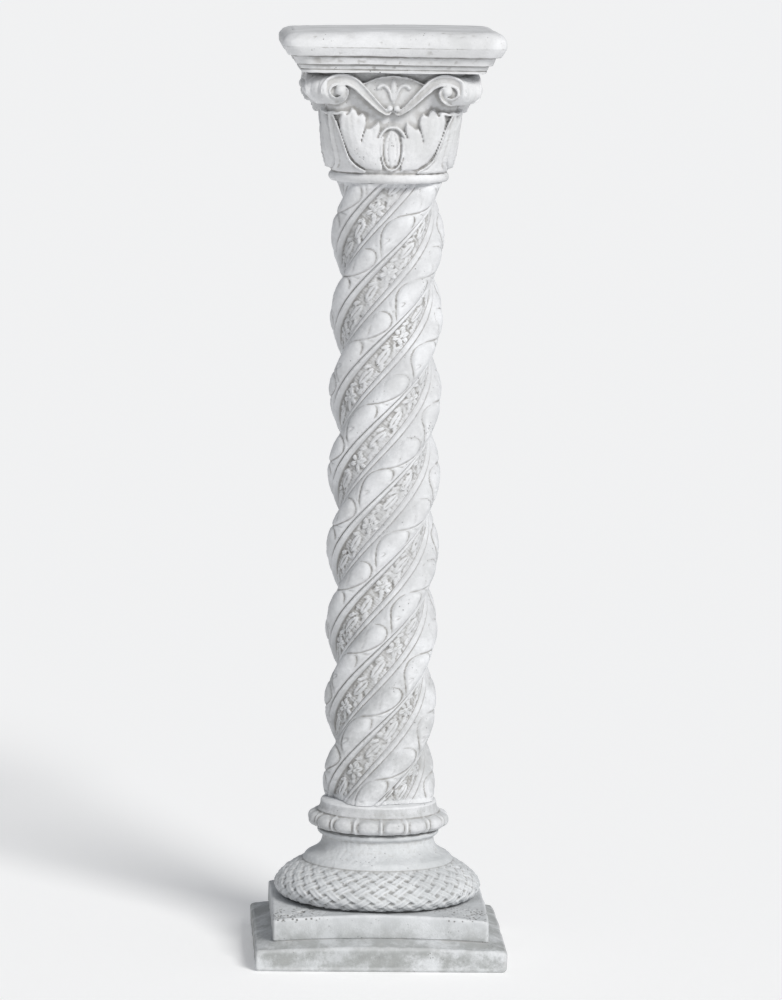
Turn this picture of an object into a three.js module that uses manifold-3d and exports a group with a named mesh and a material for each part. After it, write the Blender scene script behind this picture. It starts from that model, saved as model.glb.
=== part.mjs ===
// Twisted garden column in pale cast stone, in millimetres, +Z up.
// Three castings stand on one another: a base, a spiral shaft and a capital.
// The origin is the middle of the underside, and the front of the column faces -Y.
import * as THREE from 'three';
import { mergeVertices } from 'three/addons/utils/BufferGeometryUtils.js';
import Module from 'manifold-3d';

const wasm = await Module();
wasm.setup();

// Driving dimensions of the base
const lowerSlabSide = 301;
const lowerSlabHeight = 26.5; // at its corners, as for the upper slab
const lowerSlabArch = 4.5; // how far the middle of each upper edge stands above its corners
const lowerSlabSlope = 6; // rise of the sloping top from its rim to the upper slab
const lowerSlabWear = 7; // height of the worn edges at its foot and its rim
const lowerSlabFootInset = 6;
const lowerSlabRimInset = 3;
const upperSlabSide = 259;
const upperSlabHeight = 26.5;
const upperSlabArch = 7;
const upperSlabWear = 2;
const upperSlabFootInset = 4;
const upperSlabRimInset = 2;
const weaveRadius = 124.8;
const weaveFootRadius = 96.5;
const weaveFootHeight = 6; // of the set-back foot that the woven cushion stands on
const weaveUnderHeight = 16; // from the foot of the cushion up to its widest
const weaveOverHeight = 30; // from its widest up to its top
const weaveShoulder = 1.8; // power of the curve between those two: 2 would be a parabola
const weaveStraps = 32; // straps that run each way round the cushion
const weaveDepth = 2.6; // from the top of a strap down to a hole
const scotiaLipRadius = 91.5;
const scotiaHeight = 28;
const neckRadius = 67.5;
const filletRadius = 74.5;
const filletHeight = 11;
const filletFlare = 1.5; // how much narrower the fillet is half way down

// Driving dimensions of the shaft
const beadCount = 16;
const beadRingRadius = 85;
const beadRingHeight = 24;
const beadWidestHeight = 7; // from the foot of the bead ring up to its widest
const beadTopHeight = 16; // and up to the tops of the beads
const beadTopInset = 1;
const beadLedgeHeight = 20; // up to the ledge above the beads
const beadLedgeInset = 8;
const beadDepth = 3.4; // from the top of a bead down to the gap beside it
const collarFootRadius = 73;
const collarRadius = 70.5;
const collarHeight = 8;
const strandCount = 4;
const strandRadius = 25.2; // of each round strand in the twist
const strandOffset = 41.6; // from the column's axis to a strand's own middle
const strandLead = 376; // rise of a strand in one whole turn
const twistLength = 751;
const twistRows = 34;
const bandRadius = 51.5; // of the sunk band between two strands
const bandLineRise = 3; // of the raised line along each edge of a band
const bandBelowTop = 18.5; // from the top of the shaft to the band at the front
const strandLeafRise = 0.9; // of the leaves that swell on the strands
const flowerRise = 3.6; // of the flowers on the bands
const turnPerFlower = 72; // degrees of twist from one flower to the next

// Driving dimensions of the capital
const ringRadius = 72.5;
const ringHeight = 12;
const ringRound = 6; // how far the ring curls in above and below
const bellRadius = 85;
const bellHeight = 120;
const bellFootRadius = 69.5;
const stepHalf = 109; // half the side of the lower of the two steps under the abacus
const stepHeight = 10;
const stepLean = 3.5; // how far each step leans out
const stepLedge = 3.5; // from the top of the lower step out to the foot of the upper one
const abacusSide = 264;
const abacusHeight = 31;
const abacusCornerRadius = 18;
const abacusUnderInset = 7; // of its lower edge, behind its side
const abacusUnderHeight = 12;
const cornerLeafRise = 3.5;
const leafRise = 3.5; // of an acanthus leaf above the bell, at its foot
const leafCurl = 5; // how much further it stands out at the top of the bell
const ovalRise = 4.5;
const budRise = 2.5;
const panelRise = 0.5;
const lilyRise = 3;
const discRise = 5;
const scrollRise = 9;
const voluteRadius = 17;
const voluteReach = 133.5; // from the axis to the outside of a corner volute
const drumWidth = 34;
const lipWidth = 36;

const jointGap = 0.3; // between two castings that stand on each other
const bite = 1; // how far two bodies of one casting reach into each other

// Heights of the joints, worked out from the pieces below them
const lowerSlabTop = lowerSlabHeight + lowerSlabSlope;
const upperSlabTop = lowerSlabTop + upperSlabHeight;
const weaveFoot = upperSlabTop + weaveFootHeight;
const weaveWidest = weaveFoot + weaveUnderHeight;
const weaveTop = weaveWidest + weaveOverHeight;
const filletFoot = weaveTop + scotiaHeight;
const neckTop = filletFoot + filletHeight;
const shaftFoot = neckTop + jointGap;
const collarFoot = shaftFoot + beadRingHeight;
const twistFoot = collarFoot + collarHeight;
const shaftTop = twistFoot + twistLength;
const capitalFoot = shaftTop + jointGap;
const bellFoot = capitalFoot + ringHeight;
const stepsFoot = bellFoot + bellHeight;
const abacusFoot = stepsFoot + stepHeight * 2;
const columnTop = abacusFoot + abacusHeight;

const frontAngle = -90; // degrees, the direction of -Y seen from above
const sideCount = 4;
const turnedColumns = 20;

// Cast stone, a little warmer where the weather has greyed the base
const capitalStone = new THREE.MeshStandardMaterial({
  color: 0xd9dadb, roughness: 0.88, metalness: 0, flatShading: true,
});
const shaftStone = new THREE.MeshStandardMaterial({
  color: 0xd6d7d9, roughness: 0.88, metalness: 0, flatShading: true,
});
const baseStone = new THREE.MeshStandardMaterial({
  color: 0xcfd1d1, roughness: 0.9, metalness: 0, flatShading: true,
});

const radians = THREE.MathUtils.degToRad;
const mix = THREE.MathUtils.lerp;

// A closed body of stacked rings: place(row, column) gives each corner as a vector.
function stackOfRings(rows, columns, place) {
  const points = [];
  const faces = [];
  const at = (row, column) => row * columns + (column % columns);
  for (let row = 0; row < rows; row += 1) {
    for (let column = 0; column < columns; column += 1) {
      points.push(place(row, column));
    }
  }
  for (let row = 0; row + 1 < rows; row += 1) {
    for (let column = 0; column < columns; column += 1) {
      const lower = at(row, column);
      const lowerNext = at(row, column + 1);
      const upper = at(row + 1, column);
      const upperNext = at(row + 1, column + 1);
      faces.push(lower, lowerNext, upper, lowerNext, upperNext, upper);
    }
  }
  const bottom = points.length;
  points.push(new THREE.Vector3(0, 0, points[0].z));
  points.push(new THREE.Vector3(0, 0, points[at(rows - 1, 0)].z));
  for (let column = 0; column < columns; column += 1) {
    faces.push(bottom, at(0, column + 1), at(0, column));
    faces.push(bottom + 1, at(rows - 1, column), at(rows - 1, column + 1));
  }
  const geometry = new THREE.BufferGeometry().setFromPoints(points);
  geometry.setIndex(faces);
  return geometry;
}

function polar(radius, degrees, height) {
  const angle = radians(degrees);
  return new THREE.Vector3(radius * Math.cos(angle), radius * Math.sin(angle), height);
}

// A body of revolution from [radius, height] points, given upwards
function turned(profile) {
  return stackOfRings(profile.length, turnedColumns, (row, column) => {
    const [radius, height] = profile[row];
    return polar(radius, (column * 360) / turnedColumns, height);
  });
}

// Manifold solid of a closed geometry, and the geometry of a manifold solid
function solidOf(geometry) {
  const bare = geometry.clone();
  bare.deleteAttribute('normal');
  bare.deleteAttribute('uv');
  const merged = mergeVertices(bare, 1e-4);
  return new wasm.Manifold(new wasm.Mesh({
    numProp: 3,
    vertProperties: new Float32Array(merged.attributes.position.array),
    triVerts: new Uint32Array(merged.index.array),
  }));
}

function geometryOf(solid) {
  const mesh = solid.getMesh();
  const geometry = new THREE.BufferGeometry();
  geometry.setAttribute('position', new THREE.BufferAttribute(mesh.vertProperties, mesh.numProp));
  geometry.setIndex(new THREE.BufferAttribute(mesh.triVerts, 1));
  geometry.computeVertexNormals();
  return geometry;
}

function joined(solids) {
  return solids.reduce((whole, solid) => whole.add(solid));
}

function quarterTurns(solid) {
  const turns = [];
  for (let side = 0; side < sideCount; side += 1) {
    turns.push(solid.rotate([0, 0, (side * 360) / sideCount]));
  }
  return joined(turns);
}

// Square slab whose edges rise towards their middles, from [half side, height at the
// corners, arch] rows given upwards
function archedSlab(rows) {
  const stepsPerSide = 4;
  return stackOfRings(rows.length, stepsPerSide * sideCount, (row, column) => {
    const [half, height, arch] = rows[row];
    const along = ((column % stepsPerSide) / stepsPerSide) * 2 - 1;
    const side = Math.floor(column / stepsPerSide);
    const edge = new THREE.Vector3(along * half, -half, height + arch * (1 - along * along));
    return edge.applyAxisAngle(new THREE.Vector3(0, 0, 1), radians((side * 360) / sideCount));
  });
}

// Square slab with rounded corners, from [half side, height] rows given upwards
function roundedSlab(rows, cornerRadius) {
  const pointsPerCorner = 4;
  return stackOfRings(rows.length, pointsPerCorner * sideCount, (row, column) => {
    const [half, height] = rows[row];
    const corner = Math.floor(column / pointsPerCorner);
    const step = column % pointsPerCorner;
    const middle = radians(corner * 90 + 45);
    const turn = radians(corner * 90 + (step * 90) / (pointsPerCorner - 1));
    const inner = (half - cornerRadius) * Math.SQRT2;
    return new THREE.Vector3(
      inner * Math.cos(middle) + cornerRadius * Math.cos(turn),
      inner * Math.sin(middle) + cornerRadius * Math.sin(turn),
      height,
    );
  });
}

// Base: a cushion of woven straps on two slabs. Raised crossings and holes take turns.
function woven() {
  const rows = 6;
  const overBulge = weaveRadius - scotiaLipRadius + bite;
  const underBulge = weaveRadius - weaveFootRadius;
  return stackOfRings(rows, weaveStraps * 2, (row, column) => {
    const share = mix(-1, 1, row / (rows - 1));
    const turn = (share * Math.PI) / 2;
    const isUnder = share < 0;
    const inset = isUnder
      ? underBulge * (1 - Math.cos(turn))
      : overBulge * share ** weaveShoulder;
    const rise = isUnder ? weaveUnderHeight * Math.sin(turn) : weaveOverHeight * share;
    const isHole = (row + column) % 2 === 1 && row > 0 && row < rows - 1;
    const dip = isHole ? weaveDepth : 0;
    const radius = weaveRadius - inset - dip * Math.cos(turn);
    const height = weaveWidest + rise - dip * Math.sin(turn);
    return polar(radius, (column * 180) / weaveStraps, height);
  });
}

// Hollow moulding over the cushion: [share of its height, share of the way from neck to lip]
const scotiaCurve = [[0.05, 1], [0.24, 0.82], [0.42, 0.44], [0.62, 0.16], [1, 0]];

function base() {
  const lowerHalf = lowerSlabSide / 2;
  const lower = archedSlab([
    [lowerHalf - lowerSlabFootInset, 0, 0],
    [lowerHalf, lowerSlabWear, 0],
    [lowerHalf, lowerSlabHeight - lowerSlabWear, lowerSlabArch],
    [lowerHalf - lowerSlabRimInset, lowerSlabHeight, lowerSlabArch],
    [upperSlabSide / 2, lowerSlabTop, lowerSlabArch],
  ]);
  const upperHalf = upperSlabSide / 2;
  const upper = archedSlab([
    [upperHalf - upperSlabFootInset, lowerSlabTop - bite, lowerSlabArch],
    [upperHalf, lowerSlabTop + upperSlabWear, lowerSlabArch],
    [upperHalf, upperSlabTop - upperSlabWear, upperSlabArch],
    [upperHalf - upperSlabRimInset, upperSlabTop, upperSlabArch],
  ]);
  const scotia = scotiaCurve.map(([up, out]) => (
    [mix(neckRadius, scotiaLipRadius, out), weaveTop + up * scotiaHeight]
  ));
  const moulding = turned([
    [weaveFootRadius - bite, upperSlabTop - bite],
    [weaveFootRadius - bite, weaveFoot + bite],
    [scotiaLipRadius - bite, weaveTop - bite],
    ...scotia,
    [filletRadius - filletFlare, filletFoot + filletHeight / 2],
    [filletRadius, neckTop],
  ]);
  return geometryOf(joined([lower, upper, moulding, woven()].map(solidOf)));
}

// Shaft: four round strands wind up together, with a sunk band of flowers between them.
function strandEdge(fromMiddle) {
  const angle = radians(fromMiddle);
  const across = strandOffset * Math.sin(angle);
  return strandOffset * Math.cos(angle) + Math.sqrt(strandRadius ** 2 - across ** 2);
}

// Half of the section from the middle of a band to the middle of a strand, turn in degrees
const section = [
  { turn: 0, radius: bandRadius, flower: 1, leaf: 0 },
  { turn: 14.5, radius: bandRadius, flower: 0.15, leaf: 0 },
  { turn: 18, radius: bandRadius + bandLineRise, flower: 0, leaf: 0 },
  { turn: 26, radius: strandEdge(19), flower: 0, leaf: 0.5 },
  { turn: 35, radius: strandEdge(10), flower: 0, leaf: 1 },
  { turn: 45, radius: strandEdge(0), flower: 0, leaf: 0 },
];
const halfSection = section.length - 1;

function sectionAt(column) {
  const period = 360 / strandCount;
  const start = Math.floor(column / (halfSection * 2)) * period;
  const inPeriod = column % (halfSection * 2);
  if (inPeriod > halfSection) {
    const point = section[halfSection * 2 - inPeriod];
    return { ...point, turn: start + period - point.turn, side: -1 };
  }
  const point = section[inPeriod];
  return { ...point, turn: start + point.turn, side: 1 };
}

function twist() {
  return stackOfRings(twistRows + 1, halfSection * 2 * strandCount, (row, column) => {
    const height = mix(twistFoot - bite, shaftTop, row / twistRows);
    const wound = (360 * (height - (shaftTop - bandBelowTop))) / strandLead;
    const beat = (wound / turnPerFlower) * 2 * Math.PI;
    const bloom = Math.max(0, Math.cos(beat)) ** 2 + 0.4 * Math.max(0, -Math.cos(beat));
    const point = sectionAt(column);
    const carved = flowerRise * point.flower * bloom
      + strandLeafRise * point.leaf * point.side * Math.sin(beat);
    return polar(point.radius + carved, frontAngle + wound + point.turn, height);
  });
}

// A ring of beads: each spans its own share of the ring, with a narrow gap before it.
function beadRing() {
  const across = 360 / beadCount;
  const bead = [{ share: 0, dip: beadDepth }, { share: 0.3, dip: 0 }, { share: 0.7, dip: 0 }];
  const profile = [
    { radius: filletRadius, height: 0, beads: 0 },
    { radius: beadRingRadius, height: beadWidestHeight, beads: 1 },
    { radius: beadRingRadius - beadTopInset, height: beadTopHeight, beads: 0.5 },
    { radius: beadRingRadius - beadLedgeInset, height: beadLedgeHeight, beads: 0 },
    { radius: collarFootRadius, height: beadRingHeight, beads: 0 },
  ];
  return stackOfRings(profile.length, bead.length * beadCount, (row, column) => {
    const { radius, height, beads } = profile[row];
    const { share, dip } = bead[column % bead.length];
    const turn = (Math.floor(column / bead.length) + share) * across;
    return polar(radius - dip * beads, frontAngle + turn, shaftFoot + height);
  });
}

function shaft() {
  const collar = turned([
    [collarFootRadius - bite, collarFoot - bite],
    [mix(collarFootRadius, collarRadius, 0.8), mix(collarFoot, twistFoot, 0.3)],
    [collarRadius, twistFoot],
  ]);
  return geometryOf(joined([twist(), beadRing(), collar].map(solidOf)));
}

// Capital: a bell that is round at its foot and squarer at its top. Rows hold the share
// of the bell's height, and the shares of its radius at the middle of a face and at a corner.
const bellRows = [
  [0, bellFootRadius / bellRadius, bellFootRadius / bellRadius],
  [0.06, 0.88, 0.9],
  [0.22, 0.93, 1.03],
  [0.6, 0.89, 1.206],
  [1, 0.96, 1.27],
];

// The skin that the scrolls and volutes reach out to
const scrollRows = [
  [0.5, 0.82, 1.33],
  [0.75, 0.93, 1.5],
  [0.99, 0.975, 1.575],
];

// The bell, or a skin that stands proud of it by proud(share of height)
function bell(rows, proud) {
  const columns = 12;
  return stackOfRings(rows.length, columns, (row, column) => {
    const [share, face, corner] = rows[row];
    const degrees = ((column + 0.5) * 360) / columns;
    const toCorner = Math.sin(radians(2 * degrees)) ** 2;
    const radius = bellRadius * mix(face, corner, toCorner);
    return polar(radius + proud(share), degrees, bellFoot + share * bellHeight);
  });
}

// Carving on a face is drawn from the front: across in hundredths of the bell's radius
// from the middle of the face, and up in hundredths of the bell's height.
function facePoint([across, up]) {
  return new THREE.Vector2((across * bellRadius) / 100, bellFoot + (up * bellHeight) / 100);
}

// An outline cut through the face, from inside the bell to well outside it.
// A hole is given in the same direction round as its outline, and runs back in the shape.
function prism(outline, hole) {
  const shape = new THREE.Shape(outline.map(facePoint));
  if (hole) {
    shape.holes.push(new THREE.Path(hole.map(facePoint).reverse()));
  }
  const geometry = new THREE.ExtrudeGeometry(shape, { depth: bellRadius, bevelEnabled: false });
  geometry.rotateX(Math.PI / 2);
  geometry.translate(0, -bellRadius / 2, 0);
  return solidOf(geometry);
}

function mirrored(outline) {
  return outline.map(([across, up]) => [-across, up]);
}

function bothSides(outline) {
  return prism(outline).add(prism(mirrored(outline)));
}

// A strip of changing width along a path of [across, up, width] points, as one outline
function strip(path) {
  const stretch = bellHeight / bellRadius;
  const left = [];
  const right = [];
  path.forEach(([across, up, width], index) => {
    const [fromX, fromY] = path[Math.max(index - 1, 0)];
    const [toX, toY] = path[Math.min(index + 1, path.length - 1)];
    const direction = new THREE.Vector2(toX - fromX, (toY - fromY) * stretch).normalize();
    const stepAcross = (direction.y * width) / 2;
    const stepUp = (direction.x * width) / 2 / stretch;
    left.push([across - stepAcross, up + stepUp]);
    right.push([across + stepAcross, up - stepUp]);
  });
  return [...left, ...right.reverse()];
}

// Half of an acanthus leaf, lying against the corner leaf, with five pointed lobes
const halfLeaf = [
  [-13, 4], [-38, 4.5], [-56, 15.5], [-68, 32.5], [-74, 54], [-68.7, 61.2], [-64, 57.5],
  [-57.2, 65.3], [-48.5, 57.5], [-42.1, 60.3], [-37.3, 53], [-43, 32], [-35.5, 46],
  [-31.6, 44.8], [-19.8, 51.5], [-21, 36.4], [-12.8, 36], [-15.5, 20],
];

// The scroll: an arm climbs from the middle of the face and winds in on itself.
const armStart = [-5.5, 62];
const armHandles = [[-28, 62], [-36, 92]];
const armEnd = [-66, 94.4];
const armWidths = { start: 6, end: 11.6, tip: 5.5 };
const windMiddle = [-77, 84.2];
const wind = { turns: 1.3, from: 60, outside: 14.5, inside: 3.2, drift: 3 };

function scrollPath() {
  const [start, ...rest] = [armStart, ...armHandles, armEnd].map((at) => new THREE.Vector2(...at));
  const arm = new THREE.CubicBezierCurve(start, ...rest);
  const armSteps = 4;
  const path = arm.getPoints(armSteps).map(({ x, y }, index) => (
    [x, y, mix(armWidths.start, armWidths.end, index / armSteps)]
  ));
  const windSteps = 6;
  for (let step = 1; step <= windSteps; step += 1) {
    const share = step / windSteps;
    const turn = radians(wind.from + share * wind.turns * 360);
    const radius = mix(wind.outside, wind.inside, share ** 1.8);
    path.push([
      windMiddle[0] + radius * Math.cos(turn) + wind.drift * share,
      windMiddle[1] + (radius * Math.sin(turn) * bellRadius) / bellHeight,
      mix(armWidths.end, armWidths.tip, share),
    ]);
  }
  return path;
}

function circle([across, up], radius, steps) {
  const points = [];
  for (let step = 0; step < steps; step += 1) {
    const turn = (2 * Math.PI * step) / steps;
    points.push([
      across + (100 * radius * Math.cos(turn)) / bellRadius,
      up + (100 * radius * Math.sin(turn)) / bellHeight,
    ]);
  }
  return points;
}

// The lily in the arched panel between the two scrolls
const panel = [[-46, 89], [-16, 98], [16, 98], [46, 89], [22, 66], [-22, 66]];
const lilyPetal = [[0, 96], [-5, 87.5], [-2.2, 77], [-2.4, 68], [2.4, 68], [2.2, 77], [5, 87.5]];
const lilySide = [[-2, 75, 3.6], [-13, 88, 4.4], [-21.5, 84.6, 5]];

// The oval ring at the foot of a face, with a small bud inside it
const ovalSide = [[10.5, 42.5], [15, 27], [10, 8]];
const ovalHoleSide = [[8, 39.5], [12, 27], [7.5, 11]];
const ovalRing = [[0, 46.5], ...ovalSide, [0, 3], ...mirrored(ovalSide).reverse()];
const ovalHole = [[0, 42.5], ...ovalHoleSide, [0, 7.4], ...mirrored(ovalHoleSide).reverse()];
const bud = [[0, 40], [5, 28], [0, 7], [-5, 28]];

// The middle of a volute, where its disc lies on the face
const voluteMiddle = [-83.5, 84.2];

function faceCarving() {
  const leafSkin = solidOf(bell(bellRows, (share) => leafRise + leafCurl * share));
  const ovalSkin = solidOf(bell(bellRows, () => ovalRise));
  const budSkin = solidOf(bell(bellRows, () => budRise));
  const panelSkin = solidOf(bell(scrollRows, () => panelRise));
  const lilySkin = solidOf(bell(scrollRows, () => lilyRise));
  const discSkin = solidOf(bell(scrollRows, () => discRise));
  const scrollSkin = solidOf(bell(scrollRows, () => scrollRise));
  return joined([
    bothSides(halfLeaf).intersect(leafSkin),
    prism(ovalRing, ovalHole).intersect(ovalSkin),
    prism(bud).intersect(budSkin),
    prism(panel).intersect(panelSkin),
    prism(lilyPetal).add(bothSides(strip(lilySide))).intersect(lilySkin),
    bothSides(circle(voluteMiddle, voluteRadius, 8)).intersect(discSkin),
    bothSides(strip(scrollPath())).intersect(scrollSkin),
  ]);
}

// Round drum that turns the corner between the volutes of two faces
function cornerDrum() {
  const drum = new THREE.CylinderGeometry(voluteRadius, voluteRadius, drumWidth, 10);
  const height = bellFoot + (bellHeight * voluteMiddle[1]) / 100;
  drum.translate(voluteReach - voluteRadius, 0, height);
  return solidOf(drum);
}

// The tip of a corner leaf curls out under the drum: hundredths of the bell's radius and height.
const lipProfile = [[98, 57], [119, 58.5], [128, 62], [129, 65.5], [121, 68.5], [98, 68.5]];

function cornerLip() {
  const shape = new THREE.Shape(lipProfile.map(facePoint));
  const tip = new THREE.ExtrudeGeometry(shape, { depth: lipWidth, bevelEnabled: false });
  tip.rotateX(Math.PI / 2);
  tip.translate(0, lipWidth / 2, 0);
  return solidOf(tip);
}

// One side of a corner leaf, drawn from the corner as a face is drawn from the front
const cornerLeafSide = [[-26, 2], [-15, 12], [-10.5, 35], [-9.5, 60]];

function cornerCarving() {
  const skin = solidOf(bell(bellRows, () => cornerLeafRise)).rotate([0, 0, 45]);
  const outline = [...cornerLeafSide, ...mirrored(cornerLeafSide).reverse()];
  const leaf = prism(outline).intersect(skin);
  return joined([leaf.rotate([0, 0, -frontAngle]), cornerDrum(), cornerLip()]).rotate([0, 0, 45]);
}

// Worn upper edge of the abacus, as [inset, drop] points given upwards
const abacusWear = [[0, 14], [5, 5.5], [18, 0]];

function abacus() {
  const half = abacusSide / 2;
  const upperStepHalf = stepHalf + stepLean + stepLedge;
  return roundedSlab([
    [stepHalf, stepsFoot - bite],
    [stepHalf + stepLean, stepsFoot + stepHeight],
    [upperStepHalf, stepsFoot + stepHeight],
    [upperStepHalf + stepLean, abacusFoot],
    [half - abacusUnderInset, abacusFoot],
    [half, abacusFoot + abacusUnderHeight],
    ...abacusWear.map(([inset, drop]) => [half - inset, columnTop - drop]),
  ], abacusCornerRadius);
}

function ring() {
  const rows = 4;
  const profile = [];
  for (let row = 0; row < rows; row += 1) {
    const turn = radians(mix(-90, 90, row / (rows - 1)));
    const share = (1 + Math.sin(turn)) / 2;
    profile.push([
      ringRadius - ringRound * (1 - Math.cos(turn)),
      mix(capitalFoot, bellFoot + bite, share),
    ]);
  }
  return turned(profile);
}

function capital() {
  const core = joined([abacus(), ring(), bell(bellRows, () => 0)].map(solidOf));
  return geometryOf(core.add(quarterTurns(faceCarving().add(cornerCarving()))));
}

const column = new THREE.Group();

function addPiece(name, geometry, material) {
  const piece = new THREE.Mesh(geometry, material);
  piece.name = name;
  column.add(piece);
}

addPiece('base', base(), baseStone);
addPiece('shaft', shaft(), shaftStone);
addPiece('capital', capital(), capitalStone);

export default column;
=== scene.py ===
import math

import bpy
import numpy as np
from mathutils import Matrix, Vector


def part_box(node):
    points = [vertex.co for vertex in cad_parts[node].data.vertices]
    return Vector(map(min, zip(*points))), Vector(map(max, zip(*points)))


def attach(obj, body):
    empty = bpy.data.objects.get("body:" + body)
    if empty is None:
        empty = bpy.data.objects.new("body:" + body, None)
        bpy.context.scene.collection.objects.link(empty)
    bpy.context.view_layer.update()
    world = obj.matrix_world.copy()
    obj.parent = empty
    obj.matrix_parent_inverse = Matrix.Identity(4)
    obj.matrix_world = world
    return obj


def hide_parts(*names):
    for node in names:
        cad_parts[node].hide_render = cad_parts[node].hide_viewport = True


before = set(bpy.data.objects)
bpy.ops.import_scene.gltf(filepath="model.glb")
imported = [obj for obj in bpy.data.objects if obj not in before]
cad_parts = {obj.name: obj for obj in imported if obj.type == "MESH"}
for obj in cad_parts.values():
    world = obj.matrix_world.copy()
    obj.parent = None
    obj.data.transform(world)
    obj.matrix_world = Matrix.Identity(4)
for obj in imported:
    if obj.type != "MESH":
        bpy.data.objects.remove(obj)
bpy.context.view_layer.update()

MM = 0.001
TAU = 2 * math.pi


def node_heights(node):
    low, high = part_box(node)
    return low.z / MM, high.z / MM


_, base_top = node_heights("base")
shaft_foot, shaft_top = node_heights("shaft")
capital_foot, column_top = node_heights("capital")

# Sizes of the base
lower_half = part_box("base")[1].x / MM
lower_rim = 26.5
lower_arch = 4.5
lower_wear = 5.0
upper_half = 129.5
upper_foot = 32.5
upper_top = 59.0
upper_arch = 7.0
upper_foot_wear = 1.5
upper_top_wear = 4.0
ledge_tuck = 1.0
dome_rise = 5.0
dome_tuck = 3.0
weave_foot = 65.0
weave_widest = 81.0
weave_top = 111.0
weave_radius = 124.8
weave_foot_radius = 104.0
weave_shoulder = 1.8
scotia_lip = 91.5
weave_straps = 32
strap_slope = math.tan(math.radians(35))
strap_fill = 0.7
strap_thickness = 2.2
strap_cord = 0.4
strap_swing = 1.1
strap_hole = 2.3

# Sizes of the shaft
bead_count = 16
bead_circle = 84.0
bead_middle = 10.6
bead_half_height = 10.2
bead_half_width = 12.6
bead_rise = 4.4
bar_rise = 2.8
bar_half_width = 3.1
twist_foot = shaft_foot + 35.0
strand_count = 4
strand_radius = 25.2
strand_offset = 41.6
strand_lead = 376.0
band_radius = 51.5
band_below_top = 18.5
carving_period = 72.0

# Sizes of the capital
foot_ring_half = 6.0
foot_ring_radius = 66.5
foot_ring_core = 69.0
bell_foot = capital_foot + 12.0
bell_radius = 85.0
bell_height = 120.0
steps_foot = bell_foot + bell_height
volute_radius = 16.4
volute_across = 71.4
volute_height = steps_foot - 19.9
disc_plane = 101.0


# Repeatable noise, made from whole-number lattice points
def lattice(cell, seed):
    mixed = np.bitwise_xor.reduce(cell * (73856093, 19349663, 83492791), axis=-1) ^ (seed * 97531)
    mixed = ((mixed ^ (mixed >> 13)) * 12741261) & 0x7FFFFFFF
    mixed = ((mixed ^ (mixed >> 11)) * 26544357) & 0x7FFFFFFF
    return ((mixed >> 7) & 0xFFFF) / 32767.5 - 1.0


def noise(points, size, seed):
    """Smooth noise from -1 to 1 with features of the given size."""
    scaled = np.asarray(points, float) / size
    cell = np.floor(scaled).astype(np.int64)
    share = scaled - cell
    share = share * share * (3 - 2 * share)
    total = 0
    for corner in np.ndindex(2, 2, 2):
        x, y, z = np.moveaxis(np.abs(1 - np.array(corner) - share), -1, 0)
        total = total + x * y * z * lattice(cell + corner, seed)
    return total


def noises(points, *parts):
    """Sum of noises, each given as (strength, size, seed)."""
    return sum(strength * noise(points, size, seed) for strength, size, seed in parts)


def patches(points, size, seed, level):
    """Scattered patches, where a noise is above a level."""
    return np.clip(noise(points, size, seed) - level, 0, 1)


# Curves and forms
def smoothstep(low, high, value):
    share = np.clip((value - low) / (high - low), 0, 1)
    return share * share * (3 - 2 * share)


def bump(value, half_width):
    """A rounded ridge of height 1 whose foot is half_width away."""
    share = np.clip(1 - (value / half_width) ** 2, 0, 1)
    return share * share


def half_round(gap, half_width):
    """A half-round ridge of height 1, from the distance to its middle line."""
    return np.sqrt(np.clip(1 - (gap / half_width) ** 2, 0, 1))


def groove(gap, width):
    """A soft groove of depth 1, from the distance to its middle line."""
    return np.exp(-(gap / width) ** 2)


def swell(depth, softness):
    """A soft swelling up to 1 inside an outline, from the depth inside it."""
    return np.where(depth > 0, 1 - np.exp(-depth / softness), 0)


def around(radius, angle, height):
    """Points at a radius, an angle in radians and a height."""
    return np.stack(np.broadcast_arrays(radius * np.cos(angle), radius * np.sin(angle), height), -1)


def quarter_round(start, end, steps):
    """Insets and rises along an arc between two angles in degrees, as shares of its radius."""
    return [(1 - math.cos(turn), math.sin(turn)) for turn in np.radians(np.linspace(start, end, steps))]


def four_sides(side):
    """Points along one side, [x, y], turned to run round all four sides."""
    loop = []
    for quarter in range(4):
        angle = quarter * math.pi / 2
        turn = np.array([[math.cos(angle), -math.sin(angle)], [math.sin(angle), math.cos(angle)]])
        loop.append(side @ turn.T)
    return np.vstack(loop)


def read_profile(profile, places):
    """Sizes and heights of a profile at places counted along its points."""
    order = np.arange(len(profile))
    sizes, heights = np.transpose(profile)
    return np.interp(places, order, sizes), np.interp(places, order, heights)


def curve_through(points, steps=6):
    """A smooth line through a few points, as a denser list."""
    points = np.asarray(points, float)
    ends = np.vstack([2 * points[0] - points[1], points, 2 * points[-1] - points[-2]])
    dense = []
    for i in range(1, len(ends) - 2):
        a, b, c, d = ends[i - 1 : i + 3]
        for share in np.arange(steps) / steps:
            squared = (2 * a - 5 * b + 4 * c - d) * share ** 2
            cubed = (3 * b - a - 3 * c + d) * share ** 3
            dense.append(0.5 * (2 * b + (c - a) * share + squared + cubed))
    dense.append(points[-1])
    return np.array(dense)


def along_line(places, line, halves=None):
    """Distance from each place to a line of points, how far along it is, 0 to 1, and the half
    width there of the band along the line."""
    halves = np.zeros(len(line)) if halves is None else halves
    gap = np.full(places.shape[:-1], 1e9)
    where, half = np.zeros((2, *gap.shape))
    for i in range(len(line) - 1):
        start, step = line[i], line[i + 1] - line[i]
        share = np.clip(((places - start) @ step) / max(step @ step, 1e-9), 0, 1)
        gap_here = np.linalg.norm(places - start - share[..., None] * step, axis=-1)
        half_here = halves[i] + (halves[i + 1] - halves[i]) * share
        better = half_here - gap_here > half - gap
        gap = np.where(better, gap_here, gap)
        half = np.where(better, half_here, half)
        where = np.where(better, (i + share) / (len(line) - 1), where)
    return gap, where, half


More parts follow.
